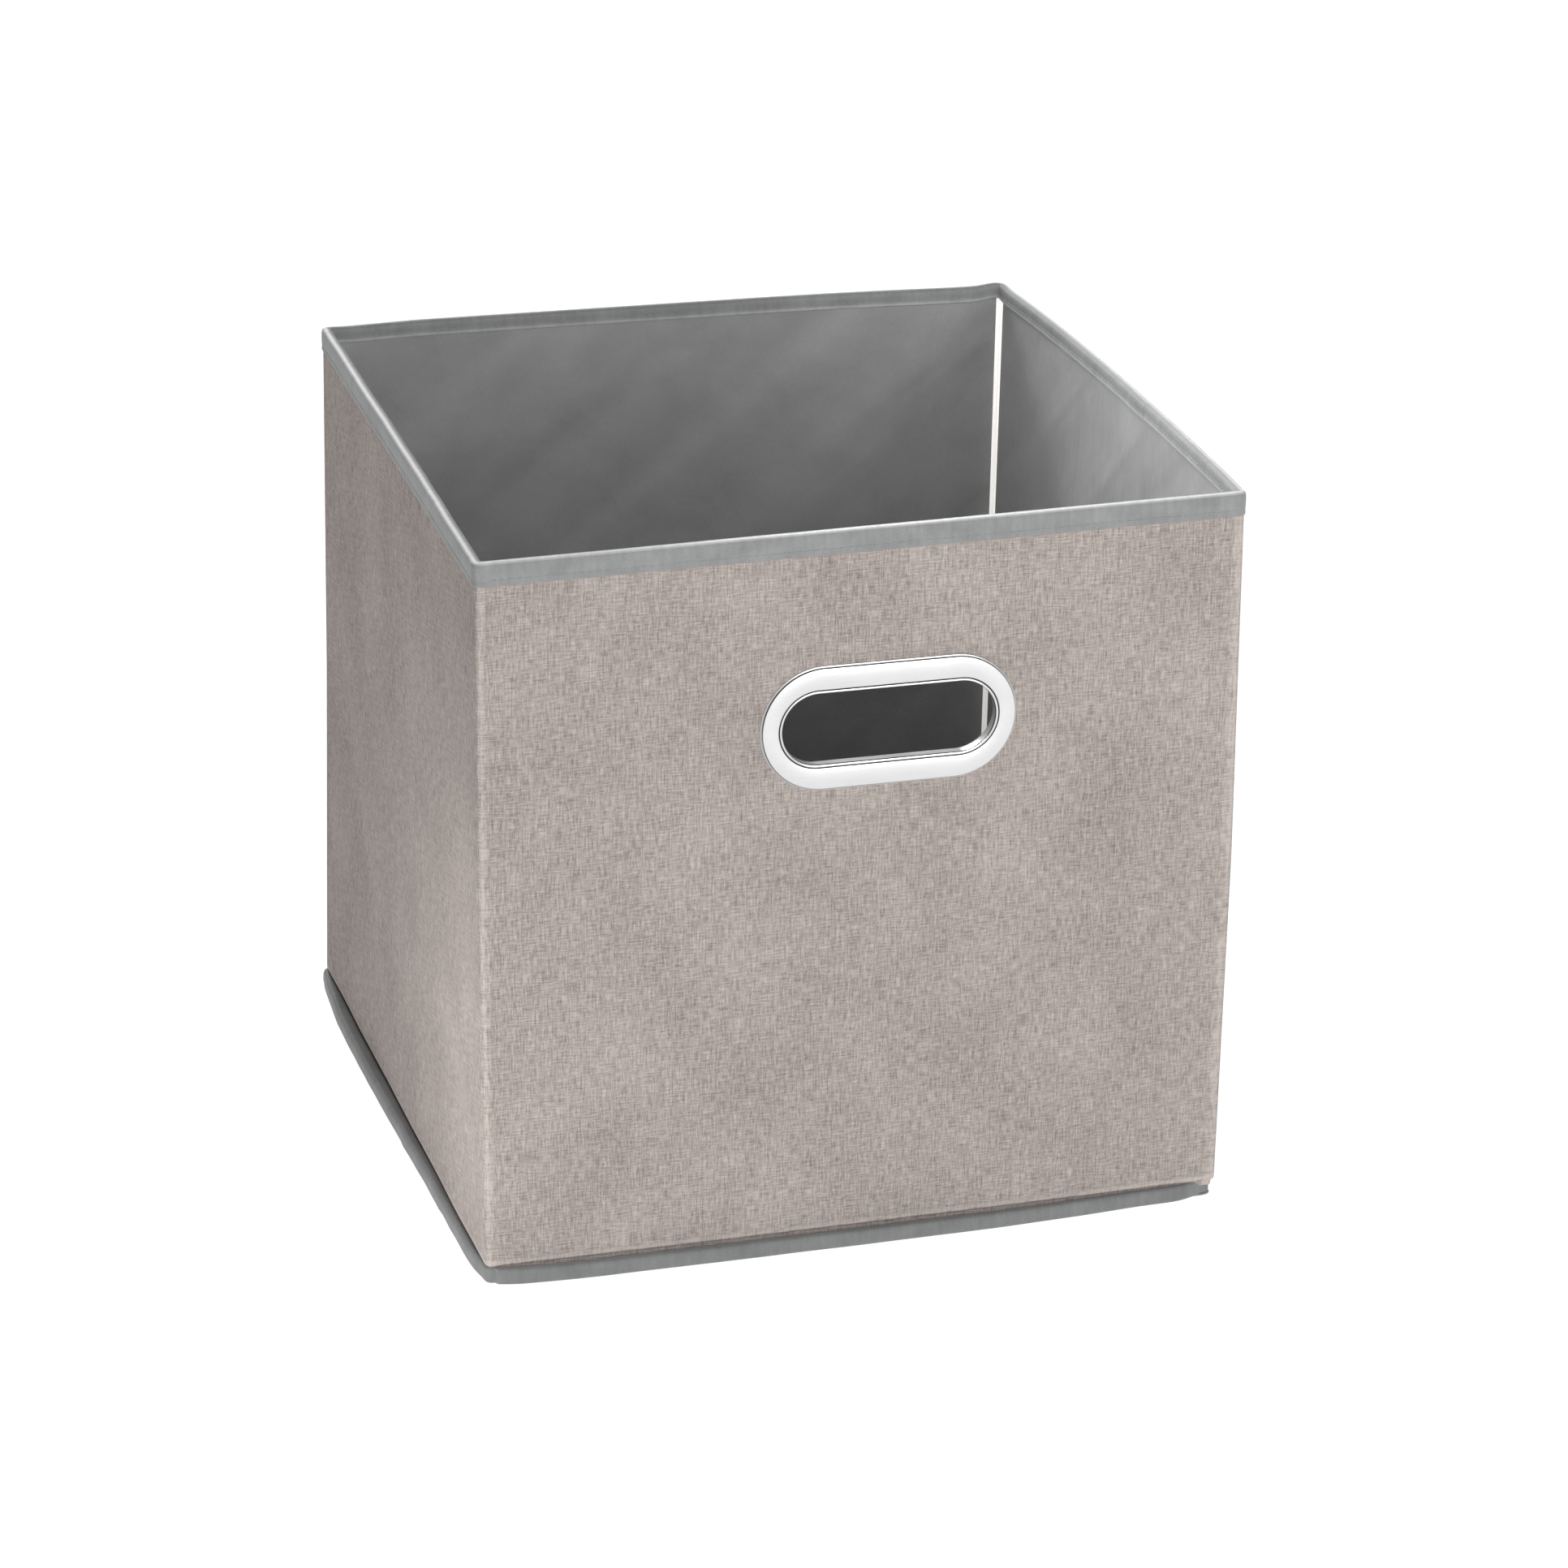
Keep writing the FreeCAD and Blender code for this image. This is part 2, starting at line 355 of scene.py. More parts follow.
def binding_tape(name, tone, folds=()):
    """Folded nonwoven binding tape: fine ribs along it, slight puckers across, and painted
    highlights along its folds and sewn edges, each given as its place across the tape, half width
    and strength."""
    f = new_finish(name)
    pucker = f.noise(f.flat(2.6 * MM, 12 * MM), 2.0)
    fibre = f.noise(f.flat(1.6 * MM, 0.4 * MM), 3.0, 0.7)
    cloud = f.noise(f.flat(18 * MM, 9 * MM), 2.0)
    share = share_of((fibre, 1.1), (cloud, 1.1), (pucker, 0.9))
    body = f.blend(share.clamp(), toned(tone, 0.78), toned(tone, 1.22))
    if folds:
        across = f.part(f.flat(1.0, 1.0), "Y")
        painted_highlights = 0.0
        for place, half, strength in folds:
            painted_highlights = painted_highlights + across.near(place, half) * strength
        # Painted highlights along the tape's folds and sewn edges.
        body = f.blend((painted_highlights * (0.75 + pucker * 0.5)).clamp(), body, PAINTED_FOLD_HIGHLIGHT)
    return f.surface(
        Base_Color=body,
        Roughness=(0.66 + (fibre - 0.5) * 0.15), Sheen_Weight=0.15, Specular_IOR_Level=0.4,
        Normal=f.bump(fibre * 0.5 + pucker * 1.2, 0.09 * MM, 0.7))


def cardboard():
    c = bpy.context.scene.bin_colours
    f = new_finish("grey_board")
    fibre = f.noise(f.place(1.2 * MM, 1.2 * MM, 4 * MM), 4.0, 0.7)
    speck = f.noise(f.place(9 * MM, 9 * MM, 9 * MM), 2.0)
    share = share_of((fibre, 1.2), (speck, 0.6))
    return f.surface(Base_Color=f.blend(share.clamp(), toned(c.card, 0.8), toned(c.card, 1.15)),
                     Roughness=0.85, Normal=f.bump(fibre, 0.08 * MM, 0.6))


def brushed_metal():
    """Satin aluminium, brushed along the grip, with painted shade in the groove under the ring's
    lip.
    """
    c = bpy.context.scene.bin_colours
    f = new_finish("satin_metal")
    brush = f.noise(f.place(14 * MM, 2 * MM, 0.22 * MM), 3.0, 0.65)
    handled = f.noise(f.place(16 * MM, 16 * MM, 16 * MM), 2.0)
    share = share_of((brush, 0.9), (handled, 0.6))
    # Painted shade: the groove under the ring's lip is coloured dark.
    groove_painted_shade = f.part(f.place(1.0, 1.0, 1.0), "Y").near(RING_LOW.y + 0.60 * MM, 0.42 * MM)
    satin = f.blend(share.clamp(), toned(c.metal, 0.90), c.metal)
    return f.surface(
        Base_Color=f.blend((groove_painted_shade * 2.5).clamp(), satin, GROOVE_PAINTED_SHADE), Metallic=0.85,
        Roughness=(0.30 + (brush - 0.5) * 0.12 + (handled - 0.5) * 0.10),
        Normal=f.bump(brush, 0.015 * MM, 0.5))


def thread(name, tone):
    f = new_finish(name)
    ply = f.noise(f.place(0.35 * MM, 0.35 * MM, 0.35 * MM), 2.0)
    return f.surface(Base_Color=f.blend(ply, toned(tone, 0.8), tone), Roughness=0.55,
                     Sheen_Weight=0.2, Normal=f.bump(ply, 0.05 * MM, 0.8))


def floor_paint():
    c = bpy.context.scene.bin_colours
    f = new_finish("studio_floor")
    grain = f.noise(f.place(0.5, 0.5, 0.5), 2.0)
    return f.surface(Base_Color=f.blend(grain, toned(c.floor, 0.995), c.floor), Roughness=0.9,
                     Emission_Color=(1.0, 1.0, 1.0), Emission_Strength=0.97)


MADE = {}


def finish(name):
    """The named finish, made once."""
    c = bpy.context.scene.bin_colours
    makers = {
        "linen": linen,
        "lining": lambda: nonwoven("lining_cloth", tuple(c.lining)),
        "panel": lambda: nonwoven("bottom_cloth", toned(c.lining, 0.85), 0.07 * MM),
        # The backing's last number is its painted glow, light given off by the cloth.
        "backing": lambda: nonwoven("backing_cloth", tuple(c.backing), 0.03 * MM, 0.03, 0.1, 0.5),
        "tape": lambda: binding_tape("rim_tape", tuple(c.tape), RIM_PAINTED_HIGHLIGHTS),
        # The bottom tape is the rim tape made darker: painted shade at the foot.
        "welt": lambda: binding_tape("bottom_tape", toned(c.tape, 0.74)),
        "card": cardboard,
        "metal": brushed_metal,
        "thread": lambda: thread("grey_thread", tuple(c.thread)),
        "floor": floor_paint,
    }
    if name not in MADE:
        MADE[name] = makers[name]()
    return MADE[name]


# ---- the bin's walls as a surface
def round_point(u, crisp=0.0):
    """Place and outward direction on the cover's face, U round from the middle of the front.
    Crisp, from 0 to 1, draws the round corners out towards a sharp fold."""
    u = (u + HALF_ROUND) % (2 * HALF_ROUND) - HALF_ROUND
    a, mirror = abs(u), math.copysign(1.0, u)
    power = 1.0 - 0.42 * crisp
    if a <= FLAT_X:
        x, y, nx, ny = a, -HALF_D, 0.0, -1.0
    elif a <= SIDE_START:
        turn = (a - FLAT_X) / CORNER_R
        nx, ny = math.sin(turn), -math.cos(turn)
        x, y = FLAT_X + CORNER_R * nx ** power, -FLAT_Y - CORNER_R * max(0.0, -ny) ** power
    elif a <= SIDE_END:
        x, y, nx, ny = HALF_W, a - SIDE_MID, 1.0, 0.0
    elif a <= BACK_START:
        turn = (a - SIDE_END) / CORNER_R
        nx, ny = max(0.0, math.cos(turn)), math.sin(turn)
        x, y = FLAT_X + CORNER_R * nx ** power, FLAT_Y + CORNER_R * ny ** power
    else:
        x, y, nx, ny = HALF_ROUND - a, HALF_D, 0.0, 1.0
    return mirror * x, y, mirror * nx, ny


def dome(x):
    """A hump, 1 in the middle and 0 from -1 and 1 outwards."""
    return max(0.0, 1.0 - x * x)


def step(low, high, x):
    """A soft step from 0 at one value to 1 at the other."""
    t = min(1.0, max(0.0, (x - low) / (high - low)))
    return t * t * (3.0 - 2.0 * t)


SQUARE_ON = 0.999                       # a place on a flat wall, not in a round corner
CREASE = Vector((0.095, 0.235))         # a place on the slanting crease of the back wall
FOOT_BULGE = 1.2 * MM                   # how far the front stands out at its foot


def bow(x, y, nx, ny, z):
    """How far a wall stands out of its plane there, common to all its layers."""
    s = bpy.context.scene.bin_sizes
    h = min(1.0, max(0.0, z / TOP))
    out, away = 0.0, 1.0
    if abs(nx) > SQUARE_ON:
        end = max(0.0, 1.0 - abs(y / (CORNER_FOLD + 2 * MM)) ** 2.4)
        if x > 0:
            out = s.side_bow * end * (0.15 + 0.85 * h ** 1.4)
        else:
            out = -0.3 * MM * end * h
    elif ny > SQUARE_ON:
        end = min(1.0, 2.2 * dome(x / FLAT_X)) * step(0.02, 0.14, z)
        across = (x - CREASE.x) * 0.80 - (z - CREASE.y) * 0.60
        ridge = math.exp(-(across / 0.042) ** 2)
        out = s.back_bow * end * (1.0 - ridge) * (0.55 + 0.45 * h)
    elif ny < -SQUARE_ON:
        clear = 1.0 - dome((x - GRIP.x) / 0.075) * dome((z - GRIP.z) / 0.050)
        belly = 0.5 * MM * clear * math.sin(math.pi * h)
        out = dome(x / FLAT_X) * (belly + FOOT_BULGE * (1.0 - h) ** 3)
        away = 1.0 - step(1.0, 0.45, math.hypot((x - GRIP.x) / 0.095, (z - GRIP.z) / 0.055))
    if max(abs(nx), abs(ny)) > SQUARE_ON and s.ripple > 0:
        end = dome(x / FLAT_X) if abs(ny) > 0.5 else dome(y / CORNER_FOLD)
        wave = noise.noise(Vector((x * 14.0 + 3.1, y * 14.0, z * 11.0)))
        small = noise.noise(Vector((x * 41.0, y * 41.0 + 7.7, z * 26.0)))
        out += s.ripple * (wave + 0.35 * small) * min(1.0, end * 4.0) * away
    return out


# How far each corner of the bin is out of square: mm (x, y, z) at the foot, half way and the rim.
OUT_OF_SQUARE = {
    (-1, -1): ((0.0, 0.0, 0.0), (-1.8, 0.0, 0.0), (-2.6, -1.0, -0.8)),
    (1, -1): ((0.5, 0.0, 0.0), (1.0, 0.0, 0.0), (0.3, 1.0, 1.8)),
    (1, 1): ((0.0, 0.0, 0.0), (1.0, 0.0, 0.0), (2.0, 0.0, 0.0)),
    (-1, 1): ((-3.0, 1.5, 0.0), (-0.4, 0.0, 0.0), (1.3, 1.0, 1.6)),
}


def lean(p):
    """Shift a place with the corners of the bin, shared by every layer."""
    h = min(1.0, max(0.0, p.z / TOP)) * 2.0
    level, share = (0, h) if h < 1.0 else (1, h - 1.0)
    shift = Vector((0.0, 0.0, 0.0))
    for (side, end), levels in OUT_OF_SQUARE.items():
        weight = (min(1.0, max(0.0, 0.5 + side * p.x / HALF_W / 2))
                  * min(1.0, max(0.0, 0.5 + end * p.y / HALF_D / 2)))
        shift += Vector(levels[level]).lerp(Vector(levels[level + 1]), share) * weight * MM
    swell = step(FLAT_X, FLAT_X + 3 * MM, p.x) * (1.0 - step(-FLAT_Y, -90 * MM, p.y))
    shift.x += 1.5 * MM * swell * (1.0 - 0.8 * max(0.0, h - 1.0))
    return p + shift


def wrap(u, t, z, extra=0.0):
    """Bend a place on the flat cloth round the bin: t is out from the cover's face."""
    x, y, nx, ny = round_point(u, step(-2.8 * MM, -1.0 * MM, t))
    out = t + extra + bow(x, y, nx, ny, z)
    return lean(Vector((x + nx * out, y + ny * out, z)))


# ---- cloth pieces
class Profile:
    """A cloth's section, from its lower cut edge: places (t, z) joined by a soft line."""

    def __init__(self, corners, soften=2, unit=1.0):
        line = [Vector((t * unit, z * unit)) for t, z in corners]
        for _ in range(soften):
            cut = [line[0]]
            for a, b in zip(line, line[1:]):
                cut += [a.lerp(b, 0.25), a.lerp(b, 0.75)]
            line = [*cut, line[-1]]
        self.line = line
        self.run = [0.0]
        for a, b in zip(line, line[1:]):
            self.run.append(self.run[-1] + (b - a).length)
        self.length = self.run[-1]

    def at(self, s):
        """Place and outward direction after a length s of cloth."""
        s = min(max(s, 0.0), self.length)
        k = next(i for i in range(1, len(self.run)) if s <= self.run[i] + 1e-12)
        a, b = self.line[k - 1], self.line[k]
        share = (s - self.run[k - 1]) / max(1e-12, self.run[k] - self.run[k - 1])
        return a.lerp(b, share), self.turned(k, share)

    def turned(self, k, share):
        def across(i):
            i = min(max(i, 1), len(self.line) - 1)
            d = self.line[i] - self.line[i - 1]
            return Vector((d.y, -d.x)).normalized()
        here = across(k)
        near = across(k - 1) if share < 0.5 else across(k + 1)
        return here.lerp(near, abs(share - 0.5)).normalized()

    def rows(self, pitch):
        """Where the rows of the mesh stand: at every bend, and evenly up the straight runs."""
        marks = [0.0]
        for a, b in zip(self.run, self.run[1:]):
            count = max(1, math.ceil((b - a) / pitch))
            marks += [a + (b - a) * (i + 1) / count for i in range(count)]
        kept = [marks[0]]
        for m in marks[1:-1]:
            if m - kept[-1] > 0.2 * MM:
                kept.append(m)
        return [*kept, marks[-1]]


LAP_END = SIDE_MID - 34 * MM            # where the rim tape's ends lap on the right side
LEAST_GAP = 0.35 * MM


def columns(u0, u1, pitch):
    """Where the columns of the mesh stand: evenly, and closer round the corners and folds."""
    closer = ((FLAT_X + ARC / 2, 0.6 * ARC, 0.7 * MM), (SIDE_START + 3.8 * MM, 4.4 * MM, 0.9 * MM),
              (SIDE_MID, 7.0 * MM, 0.8 * MM), (LAP_END, 1.6 * MM, 0.4 * MM),
              (SIDE_END - 3.8 * MM, 4.4 * MM, 0.9 * MM), (SIDE_END + ARC / 2, 0.6 * ARC, 0.7 * MM))
    fine = []
    for place in (lambda u: -u, lambda u: u, lambda u: 2 * HALF_ROUND - u):
        fine += [(place(mark) - half, place(mark) + half, gap) for mark, half, gap in closer]
    count = max(1, round((u1 - u0) / pitch))
    marks = [u0 + (u1 - u0) * i / count for i in range(count + 1)]
    marks = [m for m in marks if not any(a < m < b for a, b, _ in fine)]
    for a, b, gap in fine:
        number = round((b - a) / gap)
        run = (a + (b - a) * i / number for i in range(number + 1))
        marks += [m for m in run if u0 < m < u1]
    kept = [u0]
    for m in sorted([*marks, u0, u1]):
        if m - kept[-1] > LEAST_GAP and u1 - m > LEAST_GAP:
            kept.append(m)
    return [*kept, u1]


def from_slot(x, z, middle):
    """How far a place is from the middle line of the grip's long hole, and the nearest point."""
    near = Vector((min(max(x, GRIP.x - HOLE_STRAIGHT), GRIP.x + HOLE_STRAIGHT), middle))
    return Vector((x, z)) - near, near


def grip_cut(middle):
    """What cuts the long hole out of a flat cloth, at a height on it, and evens its edge."""
    def cut(bm):
        inside = [f for f in bm.faces
                  if from_slot(*f.calc_center_median().xy, middle)[0].length < CUT_R]
        bmesh.ops.delete(bm, geom=inside, context="FACES")
        for v in bm.verts:
            away, near = from_slot(v.co.x, v.co.y, middle)
            if v.is_boundary and away.length < CUT_R + 6 * MM:
                v.co.xy = near + away.normalized() * CUT_R
    return cut


def thicken(bm, thick):
    """Give a flat cloth its thickness, downwards."""
    flat = bm.faces[:]
    made = bmesh.ops.extrude_face_region(bm, geom=flat, use_keep_orig=True)["geom"]
    bmesh.ops.translate(bm, verts=[g for g in made if isinstance(g, bmesh.types.BMVert)],
                        vec=(0, 0, -thick))


def plan_uvs(bm):
    """Give a flat piece its own coordinates as UVs."""
    layer = bm.loops.layers.uv.new("flat")
    for face in bm.faces:
        for loop in face.loops:
            loop[layer].uv = loop.vert.co.xy


def lay_flat(us, rows, thick, cut=None):
    """The cloth as it is cut: a flat sheet, with its own coordinates as UVs."""
    bm = bmesh.new()
    across, up = len(us) - 1, len(rows) - 1
    bmesh.ops.create_grid(bm, x_segments=across, y_segments=up, size=0.5)
    for v in bm.verts:
        v.co.x, v.co.y = us[round((v.co.x + 0.5) * across)], rows[round((v.co.y + 0.5) * up)]
    if cut:
        cut(bm)
    thicken(bm, thick)
    plan_uvs(bm)
    return bm


def place_mesh(bm, name, material, sharp=math.radians(38)):
    """Close off a mesh: faces outwards, hard edges kept, and one object at the origin."""
    bmesh.ops.recalc_face_normals(bm, faces=bm.faces[:])
    for edge in bm.edges:
        edge.smooth = len(edge.link_faces) != 2 or edge.calc_face_angle(0.0) < sharp
    for face in bm.faces:
        face.smooth = True
    mesh = bpy.data.meshes.new(name)
    bm.to_mesh(mesh)
    bm.free()
    mesh.materials.append(finish(material))
    made = bpy.data.objects.new(name, mesh)
    bpy.context.scene.collection.objects.link(made)
    return made


def cloth(name, u0, u1, profile, thick, material, cut=None, soft_edge=0.5, extra=None,
          pitch=None, rows=None, skew=None):
    """A cloth cut flat, u0 to u1 long and the profile's length wide, wrapped round the bin."""
    pitch = pitch or bpy.context.scene.bin_sizes.cell
    rows = rows or profile.rows(pitch * 1.2)
    bm = lay_flat(columns(u0, u1, pitch), rows, thick, cut)
    for v in bm.verts:
        u, s, w = v.co
        place, out = profile.at(s)
        edge = min(s, profile.length - s, 0.5 * MM) / (0.5 * MM)
        w = (w + thick / 2) * (soft_edge + (1 - soft_edge) * edge) - thick / 2
        place = place + out * w
        more = extra(u, s, place.y) if extra else 0.0
        if skew:
            u += skew(u, place.y)
        v.co = wrap(u, place.x, place.y, more)
    return place_mesh(bm, name, material)


# How the cloth that runs round the bin is cut into pieces, and which fold each one crosses.
SIDE_JOIN = CORNER_FOLD - 6.2 * MM
FRONT_JOIN = FLAT_X - 1.0 * MM
OPEN_GAP = 0.1 * MM                     # half the slit at the open back left corner
FOLD_HALF = 3.6 * MM
CREASE_HALF = 6.0 * MM
SPANS = {
    "front": (-FRONT_JOIN, on_side(-SIDE_JOIN), "front_wall", "right_front_half",
              (HALF_W, -CORNER_FOLD - FOLD_HALF), (HALF_W, -CORNER_FOLD + FOLD_HALF)),
    "left_front_corner": (-on_side(-SIDE_JOIN), -FRONT_JOIN, "front_wall", "left_front_half",
                          (-HALF_W, -CORNER_FOLD - FOLD_HALF), (-HALF_W, -CORNER_FOLD + FOLD_HALF)),
    "right_side": (on_side(-SIDE_JOIN), on_side(SIDE_JOIN), "right_front_half", "right_rear_half",
                   (HALF_W, -CREASE_HALF), (HALF_W, CREASE_HALF)),
    "left_side": (-on_side(CORNER_FOLD - OPEN_GAP), -on_side(-SIDE_JOIN), "left_front_half",
                  "left_rear_half", (-HALF_W, -CREASE_HALF), (-HALF_W, CREASE_HALF)),
    "back": (on_side(SIDE_JOIN), 2 * HALF_ROUND - on_side(CORNER_FOLD + OPEN_GAP), "back_wall",
             "right_rear_half", (HALF_W, CORNER_FOLD + FOLD_HALF),
             (HALF_W + 0.5 * MM, CORNER_FOLD - FOLD_HALF)),
}


def follow(piece, span, slot, *nodes):
    """Bake a piece where it stands, and hide the CAD nodes that it takes the place of."""
    if nodes:
        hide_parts(*nodes)
    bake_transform(piece)


def fixed(piece, body, slot, *nodes):
    """Let a piece ride on one body, and hide the CAD nodes that it takes the place of."""
    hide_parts(*nodes)
    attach(piece, body)


def span_nodes(span, layer):
    """The CAD nodes of a layer that the piece of a span stands for."""
    walls = {"front": ["front"], "left_front_corner": [], "back": ["back"],
             "right_side": ["right_front", "right_rear"],
             "left_side": ["left_front", "left_rear"]}
    return [wall + "_" + layer for wall in walls[span]]


def tape_round(name, node, profile, finish_name, soft_edge, swell, pitch):
    """Fold a tape all round the bin, one piece to a span."""
    thick = bpy.context.scene.bin_sizes.tape_thick
    for span, (u0, u1, *_) in SPANS.items():
        piece = cloth(name + span, u0, u1, profile, thick, finish_name, None, soft_edge, swell,
                      3 * MM, profile.rows(pitch))
        if profile is RIM:
            rim_lift(piece)
        follow(piece, span, "binding_tape", *span_nodes(span, node))
        u1 - u0


class BinOperator:
    bl_options = {"REGISTER", "UNDO"}


# ---- outer cover
# From the edge turned in at the foot, out to the wall's face and up to the rim.
COVER = Profile([(-1.3 * MM, 4.6 * MM), (-1.3 * MM, 6.2 * MM), (-1.0 * MM, 7.4 * MM),
                 (-0.1 * MM, 7.7 * MM), (0.0, 9.0 * MM), (0.0, 12.0 * MM),
                 (0.0, TOP - 12 * MM), (0.0, TOP - 4 * MM), (-0.4 * MM, CLOTH_TOP - 0.6 * MM)])


class BIN_OT_outer_cover(BinOperator, bpy.types.Operator):
    """Wrap the linen-look cover round the walls, turned in under its lower edge"""

    bl_idname = "bin.outer_cover"
    bl_label = "Outer cover"

    def execute(self, context):
        s = context.scene.bin_sizes
        for span, (u0, u1, *_) in SPANS.items():
            cut, area = None, None
            if span == "front":
                cut = grip_cut(cover_length_to(GRIP.z))
                area = (u1 - u0) * COVER.length - CUT_AREA
            piece = cloth("cover_" + span, u0, u1, COVER, s.cover_thick, "linen", cut)
            follow(piece, span, "cover_fabric", *span_nodes(span, "cover"))
            u1 - u0
        return {"FINISHED"}


def cover_length_to(z):
    """The length of cover from its lower cut edge up to a height on the wall."""
    low, high = 0.0, COVER.length
    for _ in range(40):
        middle = (low + high) / 2
        if COVER.at(middle)[0].y < z:
            low = middle
        else:
            high = middle
    return low


# ---- cardboard
class BIN_OT_cardboard(BinOperator, bpy.types.Operator):
    """Set the cardboard stiffeners between the cover and the lining"""

    bl_idname = "bin.cardboard"
    bl_label = "Cardboard"

    def execute(self, context):
        s = context.scene.bin_sizes
        low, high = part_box("front_card")
        thick = high.y - low.y - 0.1 * MM
        face = -s.cover_thick - 0.05 * MM
        profile = Profile([(face, low.z), (face, high.z)], 0)
        ends = high.x
        near, far = (corner.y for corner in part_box("right_rear_card"))
        boards = {
            "front_card": (-ends, ends, "front_wall"),
            "back_card": (HALF_ROUND - ends, HALF_ROUND + ends, "back_wall"),
            "right_front_card": (on_side(-far), on_side(-near), "right_front_half"),
            "right_rear_card": (on_side(near), on_side(far), "right_rear_half"),
            "left_front_card": (-on_side(-near), -on_side(-far), "left_front_half"),
            "left_rear_card": (-on_side(far - 3 * MM), -on_side(near), "left_rear_half"),
        }
        for name, (u0, u1, body) in boards.items():
            cut = grip_cut(GRIP.z - low.z) if name == "front_card" else None
            piece = cloth(name + "_board", u0, u1, profile, thick, "card", cut, 1.0, pitch=8 * MM)
            fixed(piece, body, "cardboard", name)
        return {"FINISHED"}


# ---- lining
def lining_slack(u, z):
    """Soft creases of the loose lining, always towards the inside."""
    size = bpy.context.scene.bin_sizes.slack
    x, y, _, ny = round_point(u)
    along = x if abs(ny) > 0.5 else y
    reach = min(1.0, dome(along / (CORNER_FOLD - 0.5 * MM)) * 5.0) * min(1.0, (TOP - z) / 0.03)
    slant = Vector((along * 9.0 + z * 6.0, z * 3.2 - along * 2.0, 4.0 + x + 2 * y))
    fine = Vector((along * 30.0 + z * 14.0, z * 9.0, x - y))
    depth = 0.5 + 0.5 * noise.noise(slant) + 0.25 * noise.noise(fine)
    return -size * max(0.0, depth) * max(0.0, reach)


class BIN_OT_lining(BinOperator, bpy.types.Operator):
    """Hang the four grey lining panels inside the walls"""

    bl_idname = "bin.lining"
    bl_label = "Lining"

    def execute(self, context):
        s = context.scene.bin_sizes
        face = -(LINING_LOW.y + HALF_D) - 0.05 * MM
        foot = HEM - 1.5 * MM
        profile = Profile([(face, foot), (face, CLOTH_TOP - 1 * MM)], 0)
        ends, edge = LINING_HIGH.x, SIDE_LINING_EDGE
        panels = {
            "front": (-ends, ends), "back": (HALF_ROUND - ends, HALF_ROUND + ends),
            "right_side": (on_side(-edge), on_side(edge)),
            "left_side": (-on_side(edge), -on_side(-edge)),
        }

        def tuck(u, z):
            """The back panel is wider at its foot, where it covers more of the corner backing."""
            near = 1.0 - step(panels["back"][0], panels["back"][0] + 30 * MM, u)
            return -near * (0.2 + 1.25 * (1.0 - z / TOP)) * MM

        for span, (u0, u1) in panels.items():
            cut, area = None, None
            if span == "front":
                cut = grip_cut(GRIP.z - foot)
                area = (u1 - u0) * profile.length - CUT_AREA

            def extra(u, w, z, wall=span):
                clear = 1.0
                if wall == "front":
                    away = from_slot(round_point(u)[0], z, GRIP.z)[0].length
                    clear = step(24 * MM, 40 * MM, away)
                return lining_slack(u, z) * clear
            piece = cloth("lining_" + span, u0, u1, profile, s.lining_thick - 0.05 * MM, "lining",
                          cut, 1.0, extra, skew=tuck if span == "back" else None)
            nodes = span_nodes(span, "lining")
            if span in ("front", "back"):
                fixed(piece, span + "_wall", "lining_fabric", *nodes)
            else:
                follow(piece, span, "lining_fabric", *nodes)
            u1 - u0
        return {"FINISHED"}


# ---- pale backing in the corners
class BIN_OT_corner_backing(BinOperator, bpy.types.Operator):
    """Line the four inside corners with the pale backing cloth"""

    bl_idname = "bin.corner_backing"
    bl_label = "Corner backing"

    def execute(self, context):
        s = context.scene.bin_sizes
        t = -s.cover_thick - 0.06 * MM
        profile = Profile([(t, HEM + 0.4 * MM), (t, CLOTH_TOP - 0.8 * MM)], 0)
        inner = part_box("front_right_corner_backing")[0].x
        thick = 0.34 * MM
        reach = CORNER_FOLD - 1.0 * MM
        strips = {
            "front_right": (inner, on_side(-reach), "front"),
            "front_left": (-on_side(-reach), -inner, "left_front_corner"),
            "back_right": (on_side(reach), HALF_ROUND - inner, "back"),
            "back_left": (HALF_ROUND + inner, 2 * HALF_ROUND - on_side(CORNER_FOLD), None),
        }
        for corner, (u0, u1, span) in strips.items():
            piece = cloth("backing_" + corner, u0, u1, profile, thick, "backing", None, 1.0)
            node = corner + "_corner_backing"
            if span:
                follow(piece, span, "backing_cloth", node)
            else:
                fixed(piece, "back_wall", "backing_cloth", node)
            u1 - u0
        return {"FINISHED"}


# ---- rim binding
RIM = Profile([(0.62, 298.4), (0.66, 299.6), (0.50, 300.6), (0.70, 302.4), (0.72, 305.6),
               (0.45, 307.5), (-0.9, 308.1), (-2.4, 308.0), (-3.7, 307.2), (-3.85, 305.4),
               (-3.66, 303.8), (-3.95, 302.6), (-3.95, 301.4)], unit=MM)
# Painted highlights across the rim tape: on the fold on top and on the inner cut edge.
RIM_PAINTED_HIGHLIGHTS = ((10.2 * MM, 1.6 * MM, 0.85), (RIM.length - 0.6 * MM, 1.1 * MM, 0.22))
# How far the bunched tape rises at the two back corners.
RIM_RISE = (((FLAT_X, FLAT_Y), 1.3 * MM), ((-FLAT_X, FLAT_Y), 0.5 * MM))


def rim_swell(u, s, z):
    """Unevenness of the tape: small puckers between the stitches, and its lap on the right."""
    lap = step(LAP_END, LAP_END + 0.8 * MM, u) - step(LAP_END + 18 * MM, LAP_END + 22 * MM, u)
    inner = -0.45 * MM * lap * step(0.55 * RIM.length, 0.62 * RIM.length, s)
    outer = 0.25 * MM * lap * step(0.45 * RIM.length, 0.38 * RIM.length, s)
    pucker = 0.10 * MM * noise.noise(Vector((u * 160.0, s * 60.0, 1.7)))
    return pucker + inner + outer


